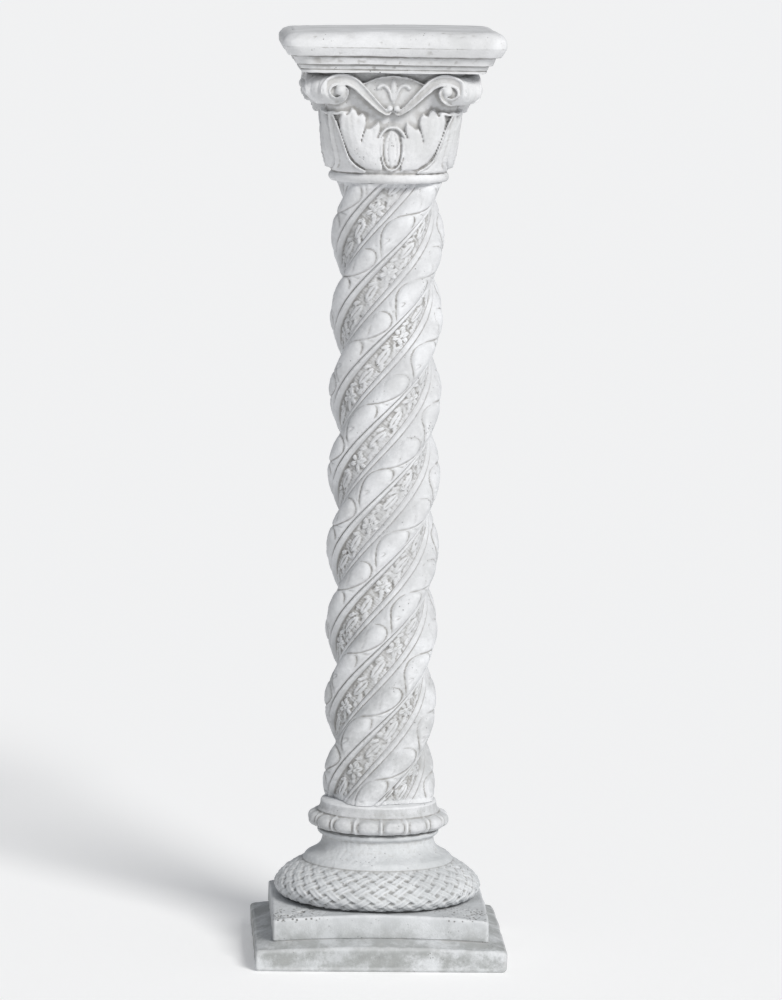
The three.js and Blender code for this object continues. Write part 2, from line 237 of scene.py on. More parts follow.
def inside_depth(places, outline):
    """Distance to a closed outline, positive inside it."""
    gap, _, _ = along_line(places, np.vstack([outline, outline[:1]]))
    inside = np.zeros(places.shape[:-1], bool)
    for start, end in zip(outline, np.roll(outline, -1, axis=0)):
        spans = (start[1] > places[..., 1]) != (end[1] > places[..., 1])
        rise = end[1] - start[1] if end[1] != start[1] else 1e-9
        cross = start[0] + (places[..., 1] - start[1]) * (end[0] - start[0]) / rise
        inside ^= spans & (places[..., 0] < cross)
    return np.where(inside, gap, -gap)


# Meshes
def new_mesh(name, points, quads, triangles=()):
    mesh = bpy.data.meshes.new(name)
    loops = np.concatenate([np.ravel(quads), np.ravel(triangles)]).astype(np.int32)
    starts = np.concatenate([
        np.arange(len(quads)) * 4,
        len(quads) * 4 + np.arange(len(triangles)) * 3,
    ]).astype(np.int32)
    mesh.vertices.add(len(points))
    mesh.vertices.foreach_set("co", (points * MM).astype(np.float32).ravel())
    mesh.loops.add(len(loops))
    mesh.loops.foreach_set("vertex_index", loops)
    mesh.polygons.add(len(starts))
    mesh.polygons.foreach_set("loop_start", starts)
    mesh.update(calc_edges=True)
    mesh.validate()
    mesh.shade_smooth()
    return mesh


def ring_mesh(name, rings):
    """A closed mesh from an array of rings, [row, column, xyz], with a fan over each end."""
    rows, columns = rings.shape[:2]
    number = np.arange(rows * columns).reshape(rows, columns)
    after = np.roll(number, -1, axis=1)
    quads = np.stack([number[:-1], after[:-1], after[1:], number[1:]], axis=-1).reshape(-1, 4)
    foot = np.column_stack([np.full(columns, number.size), after[0], number[0]])
    head = np.column_stack([np.full(columns, number.size + 1), number[-1], after[-1]])
    points = np.vstack([rings.reshape(-1, 3), rings[0].mean(axis=0), rings[-1].mean(axis=0)])
    return new_mesh(name, points, quads, np.vstack([foot, head]))


def ring_normals(rings):
    along = np.roll(rings, -1, axis=1) - np.roll(rings, 1, axis=1)
    normals = np.cross(along, np.gradient(rings, axis=0))
    return normals / np.maximum(np.linalg.norm(normals, axis=-1, keepdims=True), 1e-9)


def moved_out(rings, distance):
    return rings + ring_normals(rings) * distance[..., None]


def vertex_array(mesh, what):
    values = np.empty(len(mesh.vertices) * 3, np.float32)
    mesh.vertices.foreach_get(what, values)
    return values.reshape(-1, 3).astype(float)


def store(mesh, name, values):
    attribute = mesh.attributes.new(name, "FLOAT", "POINT")
    attribute.data.foreach_set("value", values.astype(np.float32))


def hollow_depth(mesh, rounds=14, reach=1.1, added_dirt_and_shade=0.0, soften=0):
    """How deep each vertex lies in a hollow: 1 in the deepest, 0 on flat stone, -1 on sharp edges."""
    points = vertex_array(mesh, "co") / MM
    normals = vertex_array(mesh, "normal")
    edges = np.empty(len(mesh.edges) * 2, np.int32)
    mesh.edges.foreach_get("vertices", edges)
    a, b = edges.reshape(-1, 2).T
    count = np.maximum(np.bincount(edges, minlength=len(points)), 1)

    def halfway_to_neighbours(values):
        total = np.bincount(a, values[b], len(points)) + np.bincount(b, values[a], len(points))
        return 0.5 * values + 0.5 * total / count

    smooth = points.T
    for _ in range(rounds):
        smooth = [halfway_to_neighbours(part) for part in smooth]
    depth = np.einsum("ij,ij->i", np.stack(smooth, axis=-1) - points, normals) / reach
    for _ in range(soften):
        depth = halfway_to_neighbours(depth)
    # An extra amount is added to the depth where dirt and painted shade are wanted beyond the hollows.
    return np.clip(depth + added_dirt_and_shade, -1, 1)


def joint_dirt_and_shade(points, from_joint, reach, seed):
    """Dirt and painted shade beside a joint, under the overhang of the bead ring, from the distance to
    the joint.
    """
    return 0.8 * smoothstep(reach, reach - 1, from_joint + 0.8 * noise(points, 6, seed))


def add_piece(mesh, node):
    """A piece in place of a node of the CAD part, in that node's stone."""
    piece = bpy.data.objects.new(mesh.name, mesh)
    bpy.context.scene.collection.objects.link(piece)
    mesh.materials.append(stones[node])
    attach(piece, "root")
    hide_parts(node)


def fill(tree, node, inputs):
    """Links each named input of a node to another socket, or sets it to a number or colour."""
    for name, value in inputs.items():
        if isinstance(value, bpy.types.NodeSocket):
            tree.links.new(value, node.inputs[name])
        else:
            node.inputs[name].default_value = (*value, 1) if isinstance(value, tuple) else value


# Cast stone. The scales of its textures are in features to the metre.
damp_color = (0.33, 0.34, 0.335)
# Colour of rubbed edges, which also stands for a painted highlight along every edge
wear_and_highlight_color = (0.84, 0.85, 0.865)
pit_color = (0.13, 0.125, 0.115)
# Colour of the deepest grooves as a share of the dirt colour: dirt and painted shade
groove_dirt_and_shade_factor = 0.46
grain_depth = 0.9 * MM
pit_depth = 1.2 * MM


def stone(name, light, dark, dirt_and_shade_color, dirt_and_shade_reach, damp, damp_top, wear_and_highlight_share):
    """Pale cast stone: mottled and pitted, with dirt and painted shade in its hollows, darker still in
    its deepest grooves, lighter rubbed edges that are also painted highlights, and damp up to damp_top.
    """
    material = bpy.data.materials.new(name)
    material.use_nodes = True
    tree = material.node_tree

    def made(kind, inputs, output, **settings):
        node = tree.nodes.new(f"ShaderNode{kind}")
        for setting, value in settings.items():
            setattr(node, setting, value)
        fill(tree, node, inputs)
        return node.outputs[output]

    def texture(kind, output, **inputs):
        return made(f"Tex{kind}", {"Vector": place, **inputs}, output)

    def stored(attribute):
        return made("Attribute", {}, "Fac", attribute_name=attribute)

    def ramp(source, low, high):
        inputs = {"Value": source, "From Min": low, "From Max": high}
        return made("MapRange", inputs, "Result", interpolation_type="SMOOTHSTEP")

    def combine(first, second, operation="MULTIPLY"):
        return made("Math", {0: first, 1: second}, 0, operation=operation, use_clamp=True)

    def tint(factor, under, over):
        return made("Mix", {"Factor": factor, "A": under, "B": over}, "Result", data_type="RGBA")

    place = made("TexCoord", {}, "Object")
    mottle = texture("Noise", "Fac", Scale=16, Detail=7, Roughness=0.62)
    speckle = texture("Noise", "Fac", Scale=420, Detail=3, Roughness=0.7)
    blotches = texture("Noise", "Fac", Scale=24, Detail=8, Roughness=0.75)
    pit_cells = texture("Voronoi", "Distance", Scale=230)
    pit_where = texture("Noise", "Fac", Scale=34, Detail=4, Roughness=0.75)
    depth = stored("hollow")
    pitted = stored("pitted")

    pit_share = combine(ramp(pit_where, 0.54, 0.66), pitted, "ADD")
    small_pits = combine(ramp(pit_cells, 0.24, 0.1), pit_share)
    large_pits = combine(ramp(pit_cells, 0.42, 0.24), pitted)
    large_pits = combine(large_pits, ramp(blotches, 0.38, 0.6))
    pits = combine(small_pits, large_pits, "ADD")
    # Dirt and painted shade in the hollows, from the stored hollow depth
    hollow_dirt_and_shade = combine(ramp(depth, 0.08, dirt_and_shade_reach), ramp(mottle, 0.28, 0.62))
    # Darker still in the deepest grooves: dirt and painted shade
    groove_dirt_and_shade = ramp(depth, dirt_and_shade_reach * 0.9, dirt_and_shade_reach * 3.2)
    height = made("SeparateXYZ", {"Vector": place}, "Z")
    low_down = ramp(height, damp_top, 0.2 * damp_top)
    low_down = combine(low_down, ramp(blotches, 0.36, 0.6))
    # Lighter on sharp edges: rubbed stone, and a painted highlight
    wear_and_highlight = ramp(depth, -0.15, -0.8)
    stained = combine(ramp(blotches, 0.5, 0.68), ramp(depth, -0.12, 0.16))

    color = tint(ramp(mottle, 0.3, 0.72), dark, light)
    color = tint(combine(ramp(speckle, 0.48, 0.74), 0.5), color, dark)
    color = tint(combine(low_down, damp), color, damp_color)
    color = tint(combine(stained, 0.45), color, dirt_and_shade_color)
    # Rubbed edges and painted highlights
    color = tint(combine(wear_and_highlight, wear_and_highlight_share), color, wear_and_highlight_color)
    # Dirt and painted shade in the hollows
    color = tint(combine(hollow_dirt_and_shade, 0.8), color, dirt_and_shade_color)
    # Dirt and painted shade in the deepest grooves
    color = tint(combine(groove_dirt_and_shade, 0.65), color, tuple(groove_dirt_and_shade_factor * part for part in dirt_and_shade_color))
    color = tint(combine(pits, 0.8), color, pit_color)

    grain = {"Height": speckle, "Strength": 0.65, "Distance": grain_depth}
    grain = made("Bump", grain, "Normal")
    pitting = {"Height": pits, "Strength": 0.6, "Distance": pit_depth, "Normal": grain}
    pitting = made("Bump", pitting, "Normal", invert=True)
    fill(tree, tree.nodes["Principled BSDF"], {
        "Base Color": color, "Roughness": ramp(mottle, -0.9, 0.75), "Specular IOR Level": 0.25,
        "Normal": pitting,
    })
    return material


# Each stone's dirt colour also serves as painted shade in its hollows and grooves.
stones = {
    "capital": stone(
        "capital_stone", light=(0.79, 0.795, 0.81), dark=(0.62, 0.625, 0.63),
        dirt_and_shade_color=(0.4, 0.39, 0.375), dirt_and_shade_reach=0.28, damp=0.0, damp_top=0.1, wear_and_highlight_share=0.5,
    ),
    "shaft": stone(
        "shaft_stone", light=(0.77, 0.78, 0.80), dark=(0.58, 0.585, 0.595),
        dirt_and_shade_color=(0.36, 0.35, 0.335), dirt_and_shade_reach=0.26, damp=0.5, damp_top=0.62, wear_and_highlight_share=0.5,
    ),
    "base": stone(
        "base_stone", light=(0.685, 0.7, 0.715), dark=(0.52, 0.535, 0.545),
        dirt_and_shade_color=(0.5, 0.5, 0.495), dirt_and_shade_reach=0.34, damp=1.0, damp_top=0.075, wear_and_highlight_share=0.25,
    ),
}


# Base: square loops of the slabs turn into the round loops of the cushion above them.
side_steps = 128
base_columns = side_steps * 4
base_angle = -0.75 * math.pi + np.arange(base_columns) / base_columns * TAU
slab_steps = 8
edge_steps = 6
top_loops = 27
under_steps = 20
over_steps = 36
corner_round = 4.0

# Hollow moulding and fillet over the cushion, as [radius, height above the cushion]
neck_profile = [
    (91.2, 0.0), (91.6, 1.2), (90.6, 2.6), (89.4, 4.4), (87.2, 6.8), (83.8, 8.8), (80.2, 10.6),
    (76.6, 12.8), (73.4, 15.2), (71.0, 17.8), (69.4, 20.6), (68.4, 23.4), (67.9, 26.2),
    (68.0, 29.0), (69.4, 30.8), (71.8, 32.0), (73.2, 33.4), (73.8, 35.4), (73.8, 36.6),
    (73.0, 37.6), (71.4, 38.2), (70.0, 38.9), (68.0, 39.0), (65.0, 39.0),
]
neck_steps = 3
corner_chip_depth = 5.0


def square_loop(half, height, arch):
    """One loop of a slab: rounded corners, and edges that rise towards their middles."""
    along = np.arange(side_steps) / side_steps * 2 - 1
    side = np.stack([along * half, np.full(side_steps, -half)], axis=-1)
    beyond = np.clip(np.abs(side) - (half - corner_round), 0, None)
    reach = np.linalg.norm(beyond, axis=-1, keepdims=True)
    pull = np.where(reach > corner_round, corner_round / np.maximum(reach, 1e-9), 1.0)
    side = side - np.sign(side) * beyond * (1 - pull)
    rise = height + arch * (1 - along ** 2)
    return np.column_stack([four_sides(side), np.tile(rise, 4)])


def slab_rows(start, end):
    """Loops from one (half, height, arch) to another, the first one left out."""
    shares = np.linspace(0, 1, slab_steps + 1)[1:]
    return [square_loop(*[a + (b - a) * share for a, b in zip(start, end)]) for share in shares]


def slab(half, foot, foot_arch, top, top_arch, foot_wear, top_wear):
    """Loops of a slab with rubbed lower and upper edges."""
    loops = [
        square_loop(half - foot_wear * inset, foot + foot_wear * (1 + rise), foot_arch)
        for inset, rise in quarter_round(-90, 0, edge_steps)
    ]
    loops += slab_rows((half, foot + foot_wear, foot_arch), (half, top - top_wear, top_arch))
    loops += [
        square_loop(half - top_wear * inset, top - top_wear * (1 - rise), top_arch)
        for inset, rise in quarter_round(0, 90, edge_steps)[1:]
    ]
    return loops


def strap_height(rise):
    """Height of the woven straps above their cushion, all round it."""
    pitch = TAU * weave_radius / weave_straps
    across = base_angle * weave_radius
    one = (across - rise / strap_slope) / pitch
    other = (across + rise / strap_slope) / pitch

    def strap(index, crossing, sign):
        number = np.round(index)
        parity = np.where(np.mod(number, 2) == 0, 1.0, -1.0)
        offset = np.abs(index - number) * 2 / strap_fill
        edge = np.clip(1 - offset ** 4, 0, 1) ** 0.5
        cords = -strap_cord * np.cos(offset * 1.5 * math.pi) * (offset < 1)
        swing = sign * parity * strap_swing * np.cos(math.pi * crossing)
        height = swing + edge * strap_thickness - strap_thickness + cords
        return np.where(offset < 1, height, -strap_hole)

    return np.maximum(strap(one, other, 1.0), strap(other, one, -1.0))


def slab_loops():
    loops = slab(lower_half, 0.0, 0.0, lower_rim, lower_arch, lower_wear, lower_wear)
    loops += slab_rows(
        (lower_half - lower_wear, lower_rim, lower_arch),
        (upper_half - ledge_tuck, upper_foot, lower_arch),
    )
    loops += slab(
        upper_half, upper_foot, lower_arch, upper_top, upper_arch, upper_foot_wear, upper_top_wear
    )
    # The top of the upper slab runs in from its square rim to the round foot of the cushion.
    rim = loops[-1]
    foot = around(weave_foot_radius + dome_tuck, base_angle, upper_top + dome_rise)
    loops += [rim + (foot - rim) * share for share in np.linspace(0, 1, top_loops + 1)[1:]]
    return loops


def cushion_profile():
    under_bulge = weave_radius - weave_foot_radius
    under_height = weave_widest - weave_foot
    over_bulge = weave_radius - scotia_lip
    over_height = weave_top - weave_widest
    profile = [
        (weave_radius - under_bulge * inset, weave_widest + under_height * rise)
        for inset, rise in quarter_round(-90, 0, under_steps)
    ]
    profile += [
        (weave_radius - over_bulge * share ** weave_shoulder, weave_widest + over_height * share)
        for share in np.linspace(0, 1, over_steps)[1:]
    ]
    return profile


def cushion_loops():
    """Round loops of the woven cushion, the hollow moulding and the fillet."""
    profile = [(weave_foot_radius, weave_foot - 0.5)]
    weave_start = len(profile)
    profile += cushion_profile()
    weave_end = len(profile)
    radii, rises = read_profile(neck_profile, np.arange(1, len(neck_profile) - 1, 1 / neck_steps))
    profile += list(zip(radii, weave_top + rises))
    profile = np.array(profile)
    run = np.concatenate([[0], np.cumsum(np.linalg.norm(np.diff(profile, axis=0), axis=1))])
    from_weave_top = run - run[weave_end - 1]
    slope = np.gradient(profile, axis=0)
    outward = np.stack([slope[:, 1], -slope[:, 0]], axis=-1)
    outward /= np.linalg.norm(outward, axis=1, keepdims=True)
    loops = []
    for i, (radius, height) in enumerate(profile):
        lift = np.zeros(base_columns)
        if weave_start <= i < weave_end:
            fade = smoothstep(0, 4, run[i] - run[weave_start]) * smoothstep(0, 5, -from_weave_top[i])
            lift = (strap_height(from_weave_top[i]) - strap_cord) * fade
        loops.append(around(radius + lift * outward[i, 0], base_angle, height + lift * outward[i, 1]))
    return loops


def build_base():
    slabs = slab_loops()
    rings = np.array(slabs + cushion_loops())
    row = np.arange(len(rings))[:, None]
    on_slab = row < len(slabs)
    on_top = on_slab & (row > len(slabs) - top_loops)
    slab_wear = np.minimum(noises(rings, (0.7, 28, 6), (0.4, 11, 7)) - 0.5, 0)
    wear = noises(rings, (0.35, 14, 3), (0.35, 4.5, 4), (0.2, 2.6, 5)) - 0.4
    wear = np.where(on_slab, slab_wear, wear)
    cornered = smoothstep(50, 85, np.minimum(np.abs(rings[..., 0]), np.abs(rings[..., 1])))
    wear -= corner_chip_depth * patches(rings, 5.5, 8, 0.35) * cornered * on_top
    still = (rings[..., 2] < 0.5) | (rings[..., 2] > base_top - 0.3)
    rings = moved_out(rings, np.where(still, 0, wear))
    rings[..., 2] = np.clip(rings[..., 2], 0, base_top)
    mesh = ring_mesh("base_carved", rings)

    points = vertex_array(mesh, "co") / MM
    x, y, z = points.T
    # Painted shade on the left face of the lower slab, the side away from the key light
    painted_left_shade = smoothstep(2.6, 1.0, lower_half + x) * (0.5 + 0.3 * noise(points, 12, 9))
    added_dirt_and_shade = np.maximum(painted_left_shade, joint_dirt_and_shade(points, base_top - z, 1.6, 10))
    store(mesh, "hollow", hollow_depth(mesh, added_dirt_and_shade=added_dirt_and_shade))
    on_top = (z > upper_top - 2) & (z < weave_foot)
    store(mesh, "pitted", smoothstep(55, 90, np.minimum(np.abs(x), np.abs(y))) * on_top)
    add_piece(mesh, "base")


build_base()


# Shaft: a smooth strand lies between each two bands of carving. Angles across the section
# are in degrees from the middle of a band's hollow.
foot_rows = 52
twist_rows = 601

# Columns over a quarter of the section, as [from, to, number of columns]
section_steps = [(-31.4, -19.6, 17), (-19.6, 9.2, 22), (9.2, 21.4, 15), (21.4, 58.6, 27)]

# The band and the ridges on its two sides, as [degrees, radius]
band_section = [
    (-31.4, 63.6), (-30.4, 62.8), (-29.4, 59.8), (-28.4, 60.3), (-27.0, 61.4), (-25.2, 61.4),
    (-23.4, 60.2), (-22.0, 57.4), (-21.0, 53.8), (-19.6, 53.2), (-15.0, 52.8), (-8.0, 51.9),
    (0.0, 51.5), (9.2, 51.3), (10.2, 50.8), (11.2, 52.2), (12.6, 53.9), (14.6, 55.0),
    (16.6, 55.5), (18.2, 55.2), (19.4, 54.3), (20.4, 55.9), (21.4, 57.0),
]
band_floor = (-20.6, 9.8)
strand_smooth = (-24.4, 15.2)

# Lines cut into a strand, as [degrees of twist, degrees from the strand's middle], with their
# half width and depth: the outline of a long leaf and of the round leaf under it, with their
# stems, curls and ticks
leaf_lines = [
    ([(4, 13.5), (8, 9.5), (13, 4.5), (19, -2), (26, -9), (33, -15.5), (39, -19), (45, -20.2),
      (50, -17.5), (52.6, -11.5)], 1.15, 1.0),
    ([(53.4, -6), (51.4, 0.5), (47.8, 5), (43.5, 8.8), (38.5, 11.8)], 1.1, 0.85),
    ([(11, 6), (15, -0.5), (19.5, -7.5), (24.5, -14), (29, -18.5)], 0.9, 0.6),
    ([(26.5, -5.5), (26.8, -1), (24.5, 0.8), (20.5, -0.6)], 0.95, 0.8),
    ([(55.8, -1.5), (54.8, 5), (53.2, 11.5)], 1.05, 0.9),
    ([(16, -18.5), (16.2, -11), (14, -4), (9.5, 3), (4, 8.5), (-2, 11.8), (-8, 11), (-13, 6.5),
      (-16.2, 0.5), (-17.8, -6), (-19, -13), (-20.5, -19.5)], 1.15, 1.0),
    ([(1, -12), (-3.5, -8.5), (-8.5, -4.5), (-12.5, -2.5)], 0.9, 0.65),
    ([(12, -19.5), (7.5, -18.2), (1.5, -14.5)], 0.95, 0.7),
]
berry = (-4.5, -15)
strand_tile_radius = 64.0

# The two leaves swell a little inside their outlines.
leaf_swells = [
    [(9, 8), (14, 3), (20, -3.5), (27, -10.5), (34, -16.5), (41, -19.5), (47, -18.5), (51, -13),
     (52.5, -6), (50.5, 0), (46.5, 5.5), (41, 9.5), (34, 12.5), (24, 13.5), (14, 12.5)],
    [(15, -17), (15, -10), (12.5, -3.5), (8, 3), (2.5, 8), (-3, 10.6), (-8.5, 9.5), (-12.8, 5),
     (-15.3, -1), (-16.8, -8), (-17, -15), (-12, -20), (-3, -22), (8, -21)],
]
swell_rise = 1.5
line_depth = 1.5

# Petals of a band's flower, leaves and sprigs, as [degrees of twist, degrees across, turn in
# degrees, start, length, half width, height]
flower = (59.0, -6.5)
band_petals = [(*flower, turn, 2.0, 9.0, 3.0, 2.0) for turn in (15, 85, 150, 210, 275, 330)]
band_petals += [(36.0, -5.5, 6, -12.5, 25, 5.0, 1.9), (12.5, -6.0, -4, -12.5, 25, 5.0, 1.9)]
band_petals += [
    (*place, turn, -length / 2, length, 2.1, 1.3) for *place, turn, length in (
        (48.0, 2.5, 30, 11), (47.0, -14.5, -32, 10), (25.0, 3.5, 28, 12), (24.0, -15.0, -30, 11),
        (1.0, 3.0, 24, 11), (2.0, -14.5, -28, 10), (66.5, 3.5, 10, 9), (68.0, -14.0, -12, 9),
    )
]
flower_eye = 2.6
flower_eye_rise = 2.4
hatch_pitch = 3.3

# Cracks near the foot of the front, as [across, height]
shaft_cracks = [
    [(24, 219), (19, 211), (13, 203.5), (6.5, 195.8)],
    [(16, 207), (17, 201.5), (18, 196.6)],
]

# Bead ring and collar, as [radius, height above the foot of the shaft]
bead_profile = [
    (68.0, 0.0), (70.5, 0.2), (73.6, 0.9), (76.6, 1.2), (79.0, 1.9), (81.2, 3.2), (83.4, 5.2),
    (84.6, 7.4), (85.0, 10.0), (84.9, 12.8), (84.3, 15.4), (83.0, 17.4), (80.6, 18.9),
    (77.8, 20.1), (75.2, 21.4), (73.4, 23.0), (72.0, 25.0), (71.3, 27.2), (71.0, 29.6),
    (70.8, 31.8), (70.2, 33.4), (68.8, 34.6),
]

tile_per_degree = 2.0
tile_across = 26.0
floor_fade = 1.4
floor_roughness = 0.4
floor_hole_depth = 3.4
crack_depth = 2.8
crack_width = 1.1
shaft_wear = 0.25


def section_turns():
    """Degrees from the middle of a band's hollow for one whole turn of the section."""
    quarter = np.concatenate([
        np.linspace(start, end, count + 1)[:-1] for start, end, count in section_steps
    ])
    return np.concatenate([quarter + 90 * k for k in range(strand_count)])


def from_nearest_band(turn):
    period = 360 / strand_count
    return np.mod(turn + period / 2, period) - period / 2


def twist_at(height):
    """Degrees that the section has turned by at a height."""
    return (height - (shaft_top - band_below_top)) * 360 / strand_lead


def strand_edge(from_middle):
    angle = np.radians(from_middle)
    across = strand_offset * np.sin(angle)
    inside = np.maximum(strand_radius ** 2 - across ** 2, 1.0)
    return strand_offset * np.cos(angle) + np.sqrt(inside)


def between(edges, fade, value):
    """1 between two edges and 0 beyond them, with a soft step just inside each."""
    low, high = edges
    return smoothstep(low, low + fade, value) * smoothstep(high, high - fade, value)


def unrolled(twist, across, radius):
    """Places in degrees of twist and degrees across, laid flat in millimetres."""
    twist, across = np.broadcast_arrays(twist, across)
    return np.stack([np.radians(twist + across) * radius, twist * strand_lead / 360], axis=-1)


def tile_places(radius):
    """The grid of a repeating tile of carving, laid flat at a radius."""
    twist = np.arange(int(carving_period * tile_per_degree)) / tile_per_degree
    across = np.arange(-tile_across, tile_across + 0.01, 1 / tile_per_degree)
    return unrolled(twist[:, None], across[None, :], radius)


def leaf_tile():
    """Heights of the leaves on a strand, and depths of the lines cut round them."""
    places = tile_places(strand_tile_radius)
    height = np.zeros(places.shape[:2])
    cut = np.zeros(places.shape[:2])

    def laid(line, shift):
        twist, across = np.transpose(line)
        return unrolled(twist + shift, across, strand_tile_radius)

    for shift in carving_period * np.arange(-1, 3):
        for line, width, deep in leaf_lines:
            gap, where, _ = along_line(places, laid(curve_through(line), shift))
            taper = 0.45 + 0.55 * np.sin(np.clip(where, 0.02, 0.98) * math.pi) ** 0.5
            cut = np.maximum(cut, deep * taper * groove(gap, width))
        berry_gap = np.linalg.norm(places - laid([berry], shift)[0], axis=-1)
        cut = np.maximum(cut, 0.7 * groove(berry_gap, 0.9))
        for outline in leaf_swells:
            closed = curve_through(outline + outline[:1])[:-1]
            height = np.maximum(height, swell(inside_depth(places, laid(closed, shift)), 3.5))
    return height, cut


def flower_tile():
    """Heights of the flowers, leaves, sprigs and fine hatching on the floor of a band."""
    places = tile_places(band_radius)
    height = np.zeros(places.shape[:2])
    along_way = unrolled([1.0], [0.0], band_radius)[0]
    along_way /= np.linalg.norm(along_way)
    side_way = np.array([-along_way[1], along_way[0]])

    def from_point(twist, across):
        offset = places - unrolled([twist], [across], band_radius)[0]
        return offset @ along_way, offset @ side_way

    for shift in carving_period * np.arange(-2, 3):
        for twist, across, turn, start, length, width, rise in band_petals:
            u, v = from_point(twist + shift, across)
            c, s = math.cos(math.radians(turn)), math.sin(math.radians(turn))
            aside = v * c - u * s
            share = (u * c + v * s - start) / length
            half = width * np.sqrt(np.clip(share * (1 - share) * 4, 0, 1)) + 1e-6
            inside = np.clip(1 - (aside / half) ** 2, 0, 1) * ((share > 0) & (share < 1))
            vein = 0.6 * groove(aside, 0.7) * (inside > 0)
            height = np.maximum(height, rise * np.sqrt(inside) - rise * vein)
        twist, across = flower
        far = np.hypot(*from_point(twist + shift, across))
        height = np.maximum(height, flower_eye_rise * half_round(far, flower_eye))
    hatch = 0.4 * np.sin(places @ along_way * TAU / hatch_pitch) * np.clip(1 - height, 0, 1)
    return height + hatch


def sample(tile, twist, across):
    """Value of a repeating tile at each twist and place across, smoothly between its points."""
    rows, columns = tile.shape
    row = np.mod(twist, carving_period) * tile_per_degree
    column = np.clip((across + tile_across) * tile_per_degree, 0, columns - 1.001)
    r0, c0 = np.floor(row).astype(int), np.floor(column).astype(int)
    row_share, column_share = row - r0, column - c0
    r0, r1 = r0 % rows, (r0 + 1) % rows
    low = tile[r0, c0] * (1 - column_share) + tile[r0, c0 + 1] * column_share
    high = tile[r1, c0] * (1 - column_share) + tile[r1, c0 + 1] * column_share
    return low * (1 - row_share) + high * row_share


def twist_rings():
    """Rings of the twisted shaft, from the collar to the capital."""
    turn = section_turns()
    heights = np.linspace(twist_foot, shaft_top, twist_rows)[:, None]
    twist = twist_at(heights)
    from_band = from_nearest_band(turn)
    period = 360 / strand_count
    from_strand = np.mod(turn, period) - period / 2
    in_section = (from_band > band_section[0][0]) & (from_band < band_section[-1][0])
    section = np.interp(from_band, *np.transpose(band_section))
    radius = np.where(in_section, section, strand_edge(np.abs(from_strand)))

    angle = np.radians(turn + twist - 90)
    places = around(60, angle, heights)
    shaky_twist = twist + 1.3 * noise(places, 26, 11)
    shaky_strand = from_strand + 1.0 * noise(places, 22, 12)
    swells, cuts = leaf_tile()
    carved = swell_rise * sample(swells, shaky_twist, shaky_strand)
    carved -= line_depth * sample(cuts, shaky_twist, shaky_strand)
    radius = radius + carved * between(strand_smooth, 2, from_strand)
    on_floor = between(band_floor, floor_fade, from_band)
    shaky_band = from_band + 0.8 * noise(places, 20, 13)
    radius += sample(flower_tile(), shaky_twist, shaky_band) * on_floor
    rough = noises(places, (0.25, 5, 14), (0.2, 2.4, 15))
    rough += floor_roughness * noise(places, 3.2, 16) * on_floor
    rough -= floor_hole_depth * patches(places, 6.5, 17, 0.52) * on_floor
    front = np.where(places[..., 1:2] < 0, places[..., [0, 2]], 999)
    for crack in shaft_cracks:
        gap, _, _ = along_line(front, np.asarray(crack, float))
        rough -= crack_depth * groove(gap, crack_width)
    return around(radius + rough - shaft_wear, angle, heights)


def bead_lift(angle, height):
    """Height of the beads and the narrow bars between them."""
    pitch = TAU * bead_circle / bead_count
    share = np.mod((angle + math.pi / 2) / TAU * bead_count, 1.0)
    from_bar = np.minimum(share, 1 - share) * pitch
    from_bead = np.abs(share - 0.5) * pitch
    up = (height - bead_middle) / bead_half_height
    bead = np.clip(1 - (from_bead / bead_half_width) ** 2 - up ** 2, 0, 1) ** 0.5 * bead_rise
    bar = bar_rise * bump(from_bar, bar_half_width) * smoothstep(1.08, 0.9, np.abs(up))
    ground = -bar_rise * smoothstep(1.15, 0.95, np.abs(up))
    return ground + np.maximum(bead, bar)


def foot_rings():
    """Rings of the bead ring and the collar over it."""
    radii, rises = read_profile(bead_profile, np.linspace(0, len(bead_profile) - 1, foot_rows))
    angle = np.radians(section_turns() + twist_at(twist_foot) - 90)
    rings = []
    for radius, rise in zip(radii, rises):
        on_beads = smoothstep(0, 2, rise) * smoothstep(23, 21, rise)
        out = radius - 0.4 + bead_lift(angle, rise) * on_beads
        rings.append(around(out, angle, shaft_foot + rise))
    rings = np.array(rings)
    rough = noises(rings, (0.25, 6, 21), (0.15, 2.5, 22)) - 0.2
    rough[0] = 0
    return moved_out(rings, rough)


def build_shaft():
    foot_mesh = ring_mesh("shaft_foot_carved", foot_rings())
    points = vertex_array(foot_mesh, "co") / MM
    # Dirt and painted shade at the joint under the bead ring
    added_dirt_and_shade = joint_dirt_and_shade(points, points[:, 2] - shaft_foot, 1.9, 23)
    store(foot_mesh, "hollow", hollow_depth(foot_mesh, reach=1.5, added_dirt_and_shade=added_dirt_and_shade))
    add_piece(foot_mesh, "shaft")

    # The twist is one surface in two pieces that share a ring and its normals.
    twisted = twist_rings()
    rows, columns = twisted.shape[:2]
    normals = ring_normals(twisted)
    whole = ring_mesh("twist_whole", twisted)
    from_band = from_nearest_band(section_turns())
    # Dirt and painted shade on the sunk floor of each band, more towards one edge
    band_dirt_and_shade = between(band_floor, floor_fade, from_band) * np.interp(from_band, band_floor, (0.22, 0.08))
    hollow = hollow_depth(whole, added_dirt_and_shade=np.append(np.tile(band_dirt_and_shade, rows), [0, 0]))
    hollow = hollow[: rows * columns].reshape(rows, columns)
    bpy.data.meshes.remove(whole)
    middle = rows // 2
    for name, part in (("lower", slice(0, middle + 1)), ("upper", slice(middle, None))):
        mesh = ring_mesh(f"shaft_{name}_carved", twisted[part])
        store(mesh, "hollow", np.append(hollow[part], [0, 0]))
        ends = [(0, 0, -1), (0, 0, 1)]
        mesh.normals_split_custom_set_from_vertices(np.vstack([normals[part].reshape(-1, 3), ends]))
        add_piece(mesh, "shaft")


build_shaft()


